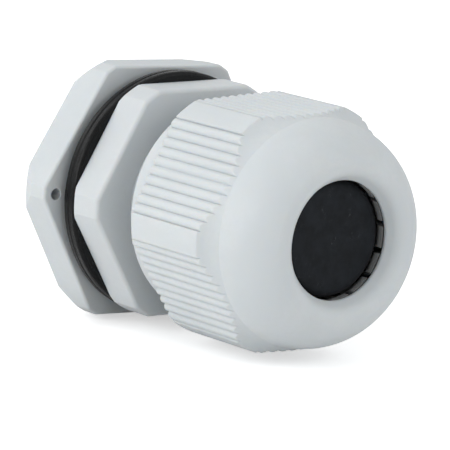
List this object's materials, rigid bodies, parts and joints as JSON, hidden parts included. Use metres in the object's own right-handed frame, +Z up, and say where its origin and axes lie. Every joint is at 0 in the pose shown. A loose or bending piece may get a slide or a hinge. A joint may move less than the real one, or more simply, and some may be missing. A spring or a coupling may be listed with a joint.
{
  "type": "cable gland",
  "caption": "Grey plastic dome-top cable gland with ribbed hexagon cap, claw and rubber seal, blanking disc, flat gasket and hexagon locknut on a metric thread.",
  "frame": {"origin": "on the gland's axis, in the rear face of the hexagon flange that presses the gasket against a panel", "axes": "+X along the axis towards the cable side (dome cap), +Z up, square to one flat of the body's hexagon"},
  "size_m": [0.0379, 0.03, 0.0272],
  "materials": {
    "body_plastic": "satin",
    "cap_plastic": "satin",
    "nut_plastic": "satin",
    "seal_rubber": "matte",
    "disc_rubber": "matte",
    "gasket_rubber": "semi-gloss"
  },
  "bodies": {
    "gland_body": {"gland_body": "body_plastic"},
    "seal_set": {"sealing_insert": "seal_rubber"},
    "dome_cap": {"dome_cap": "cap_plastic"},
    "blanking_disc": {"blanking_disc": "disc_rubber"},
    "gasket": {"flat_gasket": "gasket_rubber"},
    "locknut": {"locknut": "nut_plastic"},
    "claw_finger_01": {"claw_finger_01": "body_plastic"},
    "claw_finger_02": {"claw_finger_02": "body_plastic"},
    "claw_finger_03": {"claw_finger_03": "body_plastic"},
    "claw_finger_04": {"claw_finger_04": "body_plastic"},
    "claw_finger_05": {"claw_finger_05": "body_plastic"},
    "claw_finger_06": {"claw_finger_06": "body_plastic"},
    "claw_finger_07": {"claw_finger_07": "body_plastic"},
    "claw_finger_08": {"claw_finger_08": "body_plastic"},
    "claw_finger_09": {"claw_finger_09": "body_plastic"},
    "claw_finger_10": {"claw_finger_10": "body_plastic"},
    "claw_finger_11": {"claw_finger_11": "body_plastic"},
    "claw_finger_12": {"claw_finger_12": "body_plastic"},
    "claw_finger_13": {"claw_finger_13": "body_plastic"},
    "claw_finger_14": {"claw_finger_14": "body_plastic"}
  },
  "joints": [
    {"name": "cap_travel", "type": "slide", "parent": "gland_body", "child": "seal_set", "axis": [1, 0, 0], "range_m": [-0.0015, 0.0015]},
    {"name": "cap_turn", "type": "hinge", "parent": "seal_set", "child": "dome_cap", "pos_m": [0.018, 0, 0], "axis": [1, 0, 0], "range_deg": [-360, 360]},
    {"name": "disc_out", "type": "slide", "parent": "seal_set", "child": "blanking_disc", "axis": [1, 0, 0], "range_m": [0, 0.014]},
    {"name": "gasket_travel", "type": "slide", "parent": "gland_body", "child": "gasket", "axis": [1, 0, 0], "range_m": [-0.009, 0]},
    {"name": "nut_turn", "type": "hinge", "parent": "gasket", "child": "locknut", "pos_m": [-0.00445, 0, 0], "axis": [1, 0, 0], "range_deg": [-2160, 0]},
    {"name": "finger_01_bend", "type": "hinge", "parent": "gland_body", "child": "claw_finger_01", "pos_m": [0.016, 0.00747, 0.00326], "axis": [0, 0.3994, -0.9168], "range_deg": [-6.11, 6.11]},
    {"name": "finger_02_bend", "type": "hinge", "parent": "gland_body", "child": "claw_finger_02", "pos_m": [0.016, 0.00814, -0.00031], "axis": [0, -0.0379, -0.9993], "range_deg": [-6.11, 6.11]},
    {"name": "finger_03_bend", "type": "hinge", "parent": "gland_body", "child": "claw_finger_03", "pos_m": [0.016, 0.0072, -0.00381], "axis": [0, -0.4677, -0.8839], "range_deg": [-6.11, 6.11]},
    {"name": "finger_04_bend", "type": "hinge", "parent": "gland_body", "child": "claw_finger_04", "pos_m": [0.016, 0.00484, -0.00656], "axis": [0, -0.8049, -0.5934], "range_deg": [-6.11, 6.11]},
    {"name": "finger_05_bend", "type": "hinge", "parent": "gland_body", "child": "claw_finger_05", "pos_m": [0.016, 0.00151, -0.00801], "axis": [0, -0.9827, -0.1854], "range_deg": [-6.11, 6.11]},
    {"name": "finger_06_bend", "type": "hinge", "parent": "gland_body", "child": "claw_finger_06", "pos_m": [0.016, -0.00211, -0.00787], "axis": [0, -0.9658, 0.2593], "range_deg": [-6.11, 6.11]},
    {"name": "finger_07_bend", "type": "hinge", "parent": "gland_body", "child": "claw_finger_07", "pos_m": [0.016, -0.00532, -0.00617], "axis": [0, -0.7576, 0.6527], "range_deg": [-6.11, 6.11]},
    {"name": "finger_08_bend", "type": "hinge", "parent": "gland_body", "child": "claw_finger_08", "pos_m": [0.016, -0.00747, -0.00326], "axis": [0, -0.3994, 0.9168], "range_deg": [-6.11, 6.11]},
    {"name": "finger_09_bend", "type": "hinge", "parent": "gland_body", "child": "claw_finger_09", "pos_m": [0.016, -0.00814, 0.00031], "axis": [0, 0.0379, 0.9993], "range_deg": [-6.11, 6.11]},
    {"name": "finger_10_bend", "type": "hinge", "parent": "gland_body", "child": "claw_finger_10", "pos_m": [0.016, -0.0072, 0.00381], "axis": [0, 0.4677, 0.8839], "range_deg": [-6.11, 6.11]},
    {"name": "finger_11_bend", "type": "hinge", "parent": "gland_body", "child": "claw_finger_11", "pos_m": [0.016, -0.00484, 0.00656], "axis": [0, 0.8049, 0.5934], "range_deg": [-6.11, 6.11]},
    {"name": "finger_12_bend", "type": "hinge", "parent": "gland_body", "child": "claw_finger_12", "pos_m": [0.016, -0.00151, 0.00801], "axis": [0, 0.9827, 0.1854], "range_deg": [-6.11, 6.11]},
    {"name": "finger_13_bend", "type": "hinge", "parent": "gland_body", "child": "claw_finger_13", "pos_m": [0.016, 0.00211, 0.00787], "axis": [0, 0.9658, -0.2593], "range_deg": [-6.11, 6.11]},
    {"name": "finger_14_bend", "type": "hinge", "parent": "gland_body", "child": "claw_finger_14", "pos_m": [0.016, 0.00532, 0.00617], "axis": [0, 0.7576, -0.6527], "range_deg": [-6.11, 6.11]}
  ],
  "couplings": [
    {"joint": "cap_travel", "follows": "cap_turn", "m_per_rad": 0.00023873},
    {"joint": "gasket_travel", "follows": "nut_turn", "m_per_rad": 0.00023873},
    {"joint": "finger_01_bend", "follows": "cap_turn", "ratio": -0.016944},
    {"joint": "finger_02_bend", "follows": "cap_turn", "ratio": -0.016944},
    {"joint": "finger_03_bend", "follows": "cap_turn", "ratio": -0.016944},
    {"joint": "finger_04_bend", "follows": "cap_turn", "ratio": -0.016944},
    {"joint": "finger_05_bend", "follows": "cap_turn", "ratio": -0.016944},
    {"joint": "finger_06_bend", "follows": "cap_turn", "ratio": -0.016944},
    {"joint": "finger_07_bend", "follows": "cap_turn", "ratio": -0.016944},
    {"joint": "finger_08_bend", "follows": "cap_turn", "ratio": -0.016944},
    {"joint": "finger_09_bend", "follows": "cap_turn", "ratio": -0.016944},
    {"joint": "finger_10_bend", "follows": "cap_turn", "ratio": -0.016944},
    {"joint": "finger_11_bend", "follows": "cap_turn", "ratio": -0.016944},
    {"joint": "finger_12_bend", "follows": "cap_turn", "ratio": -0.016944},
    {"joint": "finger_13_bend", "follows": "cap_turn", "ratio": -0.016944},
    {"joint": "finger_14_bend", "follows": "cap_turn", "ratio": -0.016944}
  ]
}
